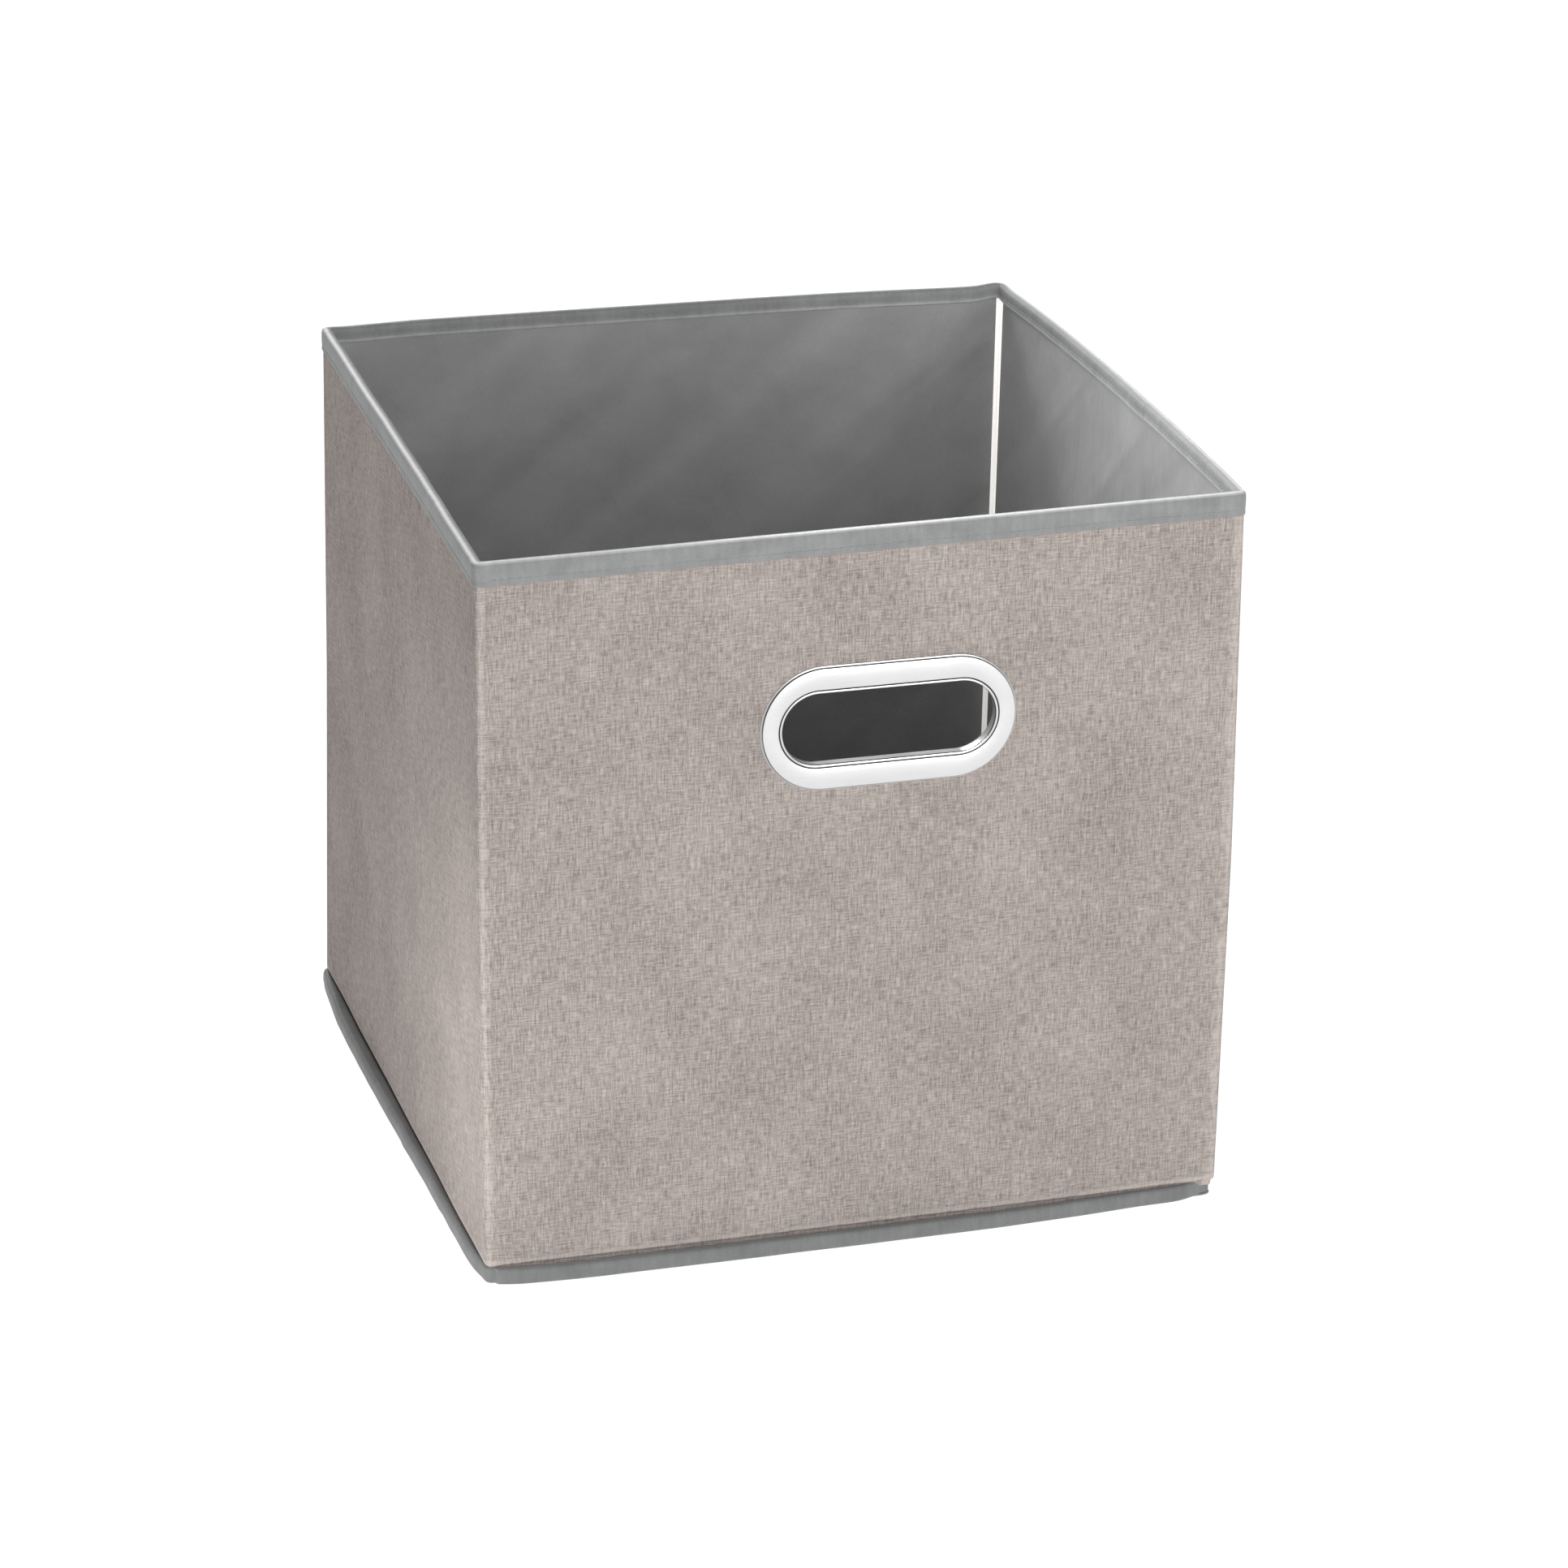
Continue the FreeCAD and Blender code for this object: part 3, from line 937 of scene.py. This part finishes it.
def rim_lift(piece):
    """Raise the rim a little at the two back corners, where the tape is bunched."""
    for v in piece.data.vertices:
        if v.co.z > TOP - 12 * MM:
            for corner, rise in RIM_RISE:
                gap = math.hypot(v.co.x - corner[0], v.co.y - corner[1])
                v.co.z += rise * math.exp(-(gap / (5.5 * MM)) ** 2)


class BIN_OT_rim_binding(BinOperator, bpy.types.Operator):
    """Fold the binding tape over the rim, all the way round"""

    bl_idname = "bin.rim_binding"
    bl_label = "Rim binding"

    def execute(self, context):
        tape_round("rim_binding_", "rim_binding", RIM, "tape", 0.5, rim_swell, 0.9 * MM)
        return {"FINISHED"}


# ---- bottom binding
WELT = Profile([(-1.45, 4.4), (-1.30, 5.6), (-0.2, 6.2), (1.2, 6.5), (2.0, 5.4), (2.10, 3.6),
                (2.1, 1.2), (1.1, 0.35), (-0.6, 0.80), (-1.5, 0.80)], unit=MM)
# Where the bottom binding cuts its corners: the place round the bin, how deep, how far each way.
WELT_CORNERS = ((-(FLAT_X + ARC / 2), 2.2 * MM, 9 * MM), (FLAT_X + ARC / 2, 4.6 * MM, 10 * MM),
                (SIDE_END + ARC / 2, 1.5 * MM, 8 * MM), (-(SIDE_END + ARC / 2), 1.0 * MM, 8 * MM))


def welt_swell(u, s, z):
    """The bottom binding swells along the front and the left side, and laps its ends there."""
    u = (u + HALF_ROUND) % (2 * HALF_ROUND) - HALF_ROUND
    out = 0.16 * MM * noise.noise(Vector((u * 70.0, s * 40.0, 5.1)))
    for middle, depth, reach in WELT_CORNERS:
        out -= depth * math.exp(-((u - middle) / reach) ** 2)
    y = -u - SIDE_MID
    if u < 0 and abs(y) < FLAT_Y:
        slimmer = 1.0 - 0.8 * step(50 * MM, -90 * MM, y)
        lap = step(-88 * MM, -86 * MM, y) * (1.0 - step(-22 * MM, -20 * MM, y))
        out += 3.0 * MM * min(1.0, 1.9 * dome(y / FLAT_Y)) * slimmer + 0.45 * MM * lap
    if abs(u) < FLAT_X:
        out += 2.8 * MM * min(1.0, 1.5 * dome((u + 30 * MM) / FLAT_X))
    return out * min(1.0, s / (2.0 * MM))


class BIN_OT_bottom_binding(BinOperator, bpy.types.Operator):
    """Roll the binding round the seam between the walls and the bottom panel"""

    bl_idname = "bin.bottom_binding"
    bl_label = "Bottom binding"

    def execute(self, context):
        tape_round("welt_", "bottom_welt", WELT, "welt", 0.6, welt_swell, 0.8 * MM)
        return {"FINISHED"}


# ---- bottom panel and loose base
def cut_across(bm, axis, at):
    """Cut a row of edges across a board, at a place along one axis."""
    place, way = Vector((0.0, 0.0, 0.0)), Vector((0.0, 0.0, 0.0))
    place[axis], way[axis] = at, 1.0
    bmesh.ops.bisect_plane(bm, geom=bm.verts[:] + bm.edges[:] + bm.faces[:], dist=1e-7,
                           plane_co=place, plane_no=way)


def slab(low, high, corner, pitch):
    """A board between two corners, with rounded upright edges and a fine top and bottom."""
    bm = bmesh.new()
    bmesh.ops.create_cube(bm, size=1.0)
    bmesh.ops.scale(bm, vec=high - low, verts=bm.verts[:])
    bmesh.ops.translate(bm, vec=(high + low) / 2, verts=bm.verts[:])
    upright = [e for e in bm.edges if abs(e.verts[0].co.z - e.verts[1].co.z) > 1e-6]
    bmesh.ops.bevel(bm, geom=upright, offset=corner, segments=6, profile=0.5, affect="EDGES",
                    material=-1)
    for axis in (0, 1):
        count = int((high[axis] - low[axis]) / pitch)
        for i in range(1, count):
            cut_across(bm, axis, low[axis] + (high[axis] - low[axis]) * i / count)
    return bm


def from_edge(v, low, high):
    """How far a place on a lying board is from its nearest edge."""
    return min(v.co.x - low.x, high.x - v.co.x, v.co.y - low.y, high.y - v.co.y)


class BIN_OT_bottom_panel(BinOperator, bpy.types.Operator):
    """Sew in the bottom panel, riding on the front wall"""

    bl_idname = "bin.bottom_panel"
    bl_label = "Bottom panel"

    def execute(self, context):
        seam = Vector((2.4 * MM, 2.4 * MM, 0.0))
        low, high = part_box("bottom_panel")
        low, high = low + seam, high - seam
        bm = slab(low, high, 3 * MM, 9 * MM)
        plan_uvs(bm)
        for v in bm.verts:
            ripple = noise.noise(Vector((v.co.x * 22, v.co.y * 22, 2.5)))
            ripple *= 0.15 * MM * step(0.0, 20 * MM, from_edge(v, low, high))
            v.co.z = 0.15 * MM + v.co.z * 0.75 + ripple
            v.co = lean(Vector((v.co.x, v.co.y, max(v.co.z, 0.0))))
        piece = place_mesh(bm, "bottom_panel_cloth", "panel")
        fixed(piece, "front_wall", "lining_fabric", "bottom_panel")
        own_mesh(piece)
        return {"FINISHED"}


class BIN_OT_loose_base(BinOperator, bpy.types.Operator):
    """Make the loose base: cardboard in a cloth pocket with a flat sewn border"""

    bl_idname = "bin.loose_base"
    bl_label = "Loose base"

    def execute(self, context):
        low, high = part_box("base_pocket")
        middle = (low.z + high.z) / 2
        bm = slab(low, high, 1.5 * MM, 7 * MM)
        for offset in (1.0 * MM, 2.4 * MM, 3.4 * MM):
            for axis in (0, 1):
                for at in (low[axis] + offset, high[axis] - offset):
                    cut_across(bm, axis, at)
        plan_uvs(bm)
        for v in bm.verts:
            near = from_edge(v, low, high)
            full = 0.26 + 0.74 * step(1.2 * MM, 3.4 * MM, near)
            ripple = 0.048 * MM * noise.noise(Vector((v.co.x * 30, v.co.y * 30, 0.4)))
            ripple *= step(3.4 * MM, 12 * MM, near)
            v.co.z = middle + (v.co.z - middle) * full + ripple
        piece = place_mesh(bm, "base_pocket_cloth", "lining")
        fixed(piece, "loose_base", "lining_fabric", "base_pocket")
        paint_node("base_card", "card")
        return {"FINISHED"}


def paint_node(node, material):
    """Give a carried-over CAD piece its finish."""
    for entry in frame["nodes"][node].material_slots:
        entry.material = finish(material)


class BIN_OT_hinge_tape(BinOperator, bpy.types.Operator):
    """Lay the cloth strip that hinges the loose base to the back wall"""

    bl_idname = "bin.hinge_tape"
    bl_label = "Base hinge tape"

    def execute(self, context):
        low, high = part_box("base_hinge_tape")
        base_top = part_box("base_pocket")[1].z
        wall = high.y - 0.05 * MM
        thick = 0.26 * MM
        path = Profile([(wall - thick, high.z), (wall - thick, base_top + 3 * MM),
                        (wall - thick, base_top + thick), (wall - 3 * MM, base_top + thick),
                        (wall - 16 * MM, base_top + thick)])
        bm = lay_flat([low.x + (high.x - low.x) * i / 60 for i in range(61)],
                      path.rows(1.0 * MM), thick)
        for v in bm.verts:
            x, s, w = v.co
            place, out = path.at(s)
            place = place - out * w
            v.co = (x, place.x, place.y)
        piece = place_mesh(bm, "base_hinge_cloth", "tape")
        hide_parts("base_hinge_tape")
        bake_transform(piece)
        return {"FINISHED"}


# ---- grip rings
RING_STEPS = 96


def ring_size(low, high):
    """The outer radius and half the straight run of a ring, from its box."""
    radius = (high.z - low.z) / 2
    return radius, (high.x - low.x) / 2 - radius


def section(radius, straight, y, *places):
    """Places of a ring's section, each in mm out from a radius and back from a plane."""
    return [(radius + out * MM, straight, y + back * MM) for out, back in places]


def swept_ring(profile):
    """Sweep a closed section round the grip's long outline: (radius, half straight, y) in order."""
    bm = bmesh.new()
    radius, straight, y = profile[0]
    around = bmesh.ops.create_circle(bm, segments=RING_STEPS, radius=radius)["verts"]
    half_step = Matrix.Rotation(math.pi / RING_STEPS, 3, "Z")
    bmesh.ops.rotate(bm, verts=around, cent=(0, 0, 0), matrix=half_step)
    bmesh.ops.rotate(bm, verts=around, cent=(0, 0, 0), matrix=Matrix.Rotation(math.pi / 2, 3, "X"))
    bmesh.ops.translate(bm, verts=around, vec=(GRIP.x, y, GRIP.z))
    for v in around:
        v.co.x += math.copysign(straight, v.co.x - GRIP.x)
    loop, last = bm.edges[:], straight
    for radius, straight, y in profile[1:]:
        made = bmesh.ops.extrude_edge_only(bm, edges=loop)["geom"]
        loop = [g for g in made if isinstance(g, bmesh.types.BMEdge)]
        for v in (g for g in made if isinstance(g, bmesh.types.BMVert)):
            side = math.copysign(1.0, v.co.x - GRIP.x)
            out = Vector((v.co.x - GRIP.x - side * last, v.co.z - GRIP.z)).normalized()
            v.co = (GRIP.x + side * straight + out.x * radius, y, GRIP.z + out.y * radius)
        last = straight
    bmesh.ops.remove_doubles(bm, verts=bm.verts[:], dist=1e-6)
    return bm


class BIN_OT_grip_rings(BinOperator, bpy.types.Operator):
    """Set the two metal rings of the grip through the front wall"""

    bl_idname = "bin.grip_rings"
    bl_label = "Grip rings"

    def execute(self, context):
        r, straight = ring_size(RING_LOW, RING_HIGH)
        face, wall, end = RING_LOW.y, -HALF_D, RING_HIGH.y
        front = [
            *section(r, straight, wall, (-1.0, 0.0), (-0.9, -0.10), (-0.1, -0.20), (0.0, -0.30)),
            *section(r, straight, face, (0.0, 1.05), (-0.15, 0.95), (-0.66, 0.90), (-0.74, 0.80),
                     (-0.76, 0.36), (-0.88, 0.12), (-1.2, 0.0)),
            *section(HOLE_R, HOLE_STRAIGHT, face, (1.9, 0.0), (1.55, 0.12), (1.35, 0.50),
                     (1.10, 0.50), (0.90, 0.08), (0.55, -0.02), (0.15, 0.20), (0.0, 0.75)),
            *section(HOLE_R, HOLE_STRAIGHT, end, (0.0, -2.4), (0.1, -1.9), (0.85, 0.0),
                     (0.95, 0.0)),
            *section(HOLE_R, HOLE_STRAIGHT, wall, (0.95, 0.05)),
            *section(r, straight, wall, (-1.0, 0.0)),
        ]
        low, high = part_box("handle_back_ring")
        r, straight = ring_size(low, high)
        back = [
            *section(r, straight, low.y, (0.0, 0.0)),
            *section(r, straight, high.y, (0.0, -0.6), (-0.2, -0.2), (-0.7, 0.0)),
            *section(HOLE_R, HOLE_STRAIGHT, high.y, (2.2, 0.0), (1.3, -0.25), (1.0, -0.6)),
            *section(HOLE_R, HOLE_STRAIGHT, low.y, (1.0, 0.0)),
            *section(r, straight, low.y, (0.0, 0.0)),
        ]
        for side, profile in (("front", front), ("back", back)):
            ring = place_mesh(swept_ring(profile), "grip_ring_" + side, "metal", math.radians(30))
            fixed(ring, "front_wall", "ring_metal", "handle_" + side + "_ring")
        return {"FINISHED"}


# ---- sewing
SEAM_IN = 2.3 * MM                      # from the tape's cut edges to its stitches
PROUD = 0.02 * MM                       # how far a stitch stands over the tape


def stitches(name, u0, u1, profile, s):
    """A row of stitches along a wrapped cloth, s from its lower cut edge."""
    sizes = bpy.context.scene.bin_sizes
    pitch, thick = sizes.stitch_pitch, sizes.stitch_thick
    count = int((u1 - u0) / pitch)
    place, out = profile.at(s)
    place = place + out * PROUD
    bm = bmesh.new()
    for i in range(count):
        middle = u0 + (u1 - u0) * (i + 0.5) / count
        a = wrap(middle - pitch * 0.39, place.x, place.y)
        b = wrap(middle + pitch * 0.39, place.x, place.y)
        turn = (b - a).to_track_quat("Z", "Y").to_matrix().to_4x4()
        shape = Matrix.Diagonal((thick, thick, (b - a).length, 1.0))
        bmesh.ops.create_uvsphere(bm, u_segments=6, v_segments=5, radius=0.5,
                                  matrix=Matrix.Translation((a + b) / 2) @ turn @ shape)
    return place_mesh(bm, name, "thread", math.radians(80))


class BIN_OT_stitching(BinOperator, bpy.types.Operator):
    """Sew the rim binding with grey thread, outside and inside"""

    bl_idname = "bin.stitching"
    bl_label = "Stitching"

    def execute(self, context):
        for span, (u0, u1, *_) in SPANS.items():
            for side, s in (("outer_", SEAM_IN), ("inner_", RIM.length - SEAM_IN)):
                piece = stitches("rim_stitches_" + side + span, u0 + 0.6 * MM, u1 - 0.6 * MM,
                                 RIM, s)
                follow(piece, span, "binding_tape")
        return {"FINISHED"}


# ---- stage
# Each lamp's name, place, target, size, power in watts and spread in degrees.
LAMPS = (("rear", (-0.12, 1.80, 1.50), (0.0, 0.0, 0.30), 0.8, 36.0, 180),
         ("key", (0.33, -1.50, 0.80), (0.0, 0.0, 0.22), 1.20, 15.5, 180),
         ("inner", (-0.12, -0.03, 0.43), (0.155, -0.08, 0.34), 0.12, 0.42, 110),
         ("foot", (-0.32, -0.178, 0.07), (-0.155, -0.11, 0.09), 0.10, 0.19, 150))
EYE = (-0.5621, -1.9160, 0.9520)
LENS = 116.24
AZIMUTH, DIP, ROLL = math.radians(16.68), math.radians(22.09), math.radians(0.89)


def studio_light():
    """Soft white light from all round, strongest low down and in front."""
    f = Finish(bpy.data.worlds.new("studio"))
    way = f.node("ShaderNodeTexCoord").outputs["Generated"]
    x, y, z = (f.part(way, axis) for axis in "XYZ")
    low = (1.0 - z.clamp()) * (1.0 - z.clamp())
    round_about = 0.42 + (0.0 - y).clamp() * 0.9 - x.maths("ABSOLUTE") * 0.30
    sky = f.node("ShaderNodeBackground", {}, {
        "Color": (1.0, 1.0, 1.0, 1.0), "Strength": low * round_about + 0.16})
    f.node("ShaderNodeOutputWorld", {}, {"Surface": sky.outputs["Background"]})
    return f.owner


class BIN_OT_stage(BinOperator, bpy.types.Operator):
    """Lay the pale floor, hang the soft lights and set up the camera"""

    bl_idname = "bin.stage"
    bl_label = "Stage"

    def execute(self, context):
        scene = context.scene
        bm = bmesh.new()
        bmesh.ops.create_grid(bm, x_segments=4, y_segments=4, size=9.0)
        bmesh.ops.translate(bm, verts=bm.verts[:], vec=(0, 0, -0.2 * MM))
        floor = place_mesh(bm, "studio_floor", "floor")
        scene.view_settings.view_transform = "Standard"
        scene.world = studio_light()
        for name, place, target, size, power, spread in LAMPS:
            light = bpy.data.lights.new(name, "AREA")
            light.shape, light.size, light.energy = "DISK", size, power
            light.spread = math.radians(spread)
            lamp = bpy.data.objects.new(name, light)
            lamp.location = place
            aim = Vector(target) - Vector(place)
            lamp.rotation_euler = aim.to_track_quat("-Z", "Y").to_euler()
            lamp.visible_camera = False
            scene.collection.objects.link(lamp)
        self.camera(scene)
        return {"FINISHED"}

    def camera(self, scene):
        data = bpy.data.cameras.new("camera")
        data.lens, data.sensor_width = LENS, 36.0
        data.clip_start, data.clip_end = 0.05, 60.0
        eye = bpy.data.objects.new("camera", data)
        ahead = Vector((math.sin(AZIMUTH) * math.cos(DIP), math.cos(AZIMUTH) * math.cos(DIP),
                        -math.sin(DIP)))
        right = ahead.cross(Vector((0, 0, 1))).normalized()
        up = right.cross(ahead)
        tilted = right * math.cos(ROLL) + up * math.sin(ROLL)
        over = up * math.cos(ROLL) - right * math.sin(ROLL)
        turn = Matrix((tilted, over, -ahead)).transposed()
        eye.matrix_world = Matrix.Translation(EYE) @ turn.to_4x4()
        scene.collection.objects.link(eye)
        scene.camera = eye


STEPS = (BIN_OT_stage, BIN_OT_outer_cover, BIN_OT_cardboard, BIN_OT_lining, BIN_OT_corner_backing,
         BIN_OT_rim_binding, BIN_OT_bottom_binding, BIN_OT_bottom_panel, BIN_OT_loose_base,
         BIN_OT_hinge_tape, BIN_OT_grip_rings, BIN_OT_stitching)


class BIN_PT_pieces(bpy.types.Panel):
    """The bin's sizes, colours and pieces"""

    bl_idname = "BIN_PT_pieces"
    bl_label = "Storage bin"
    bl_space_type = "VIEW_3D"
    bl_region_type = "UI"
    bl_category = "Storage bin"

    def draw(self, context):
        column = self.layout.column()
        for group in (context.scene.bin_sizes, context.scene.bin_colours):
            for name in group.bl_rna.properties.keys():
                if name not in ("rna_type", "name"):
                    column.prop(group, name)
        for operator in STEPS:
            column.operator(operator.bl_idname)


CLASSES = (BIN_PG_sizes, BIN_PG_colours, *STEPS, BIN_PT_pieces)


def register():
    for item in CLASSES:
        bpy.utils.register_class(item)
    bpy.types.Scene.bin_sizes = PointerProperty(type=BIN_PG_sizes)
    bpy.types.Scene.bin_colours = PointerProperty(type=BIN_PG_colours)


def unregister():
    del bpy.types.Scene.bin_sizes
    del bpy.types.Scene.bin_colours
    for item in reversed(CLASSES):
        bpy.utils.unregister_class(item)


def main():
    register()
    for operator in STEPS:
        group, name = operator.bl_idname.split(".")
        getattr(getattr(bpy.ops, group), name)()


if __name__ == "__main__":
    main()
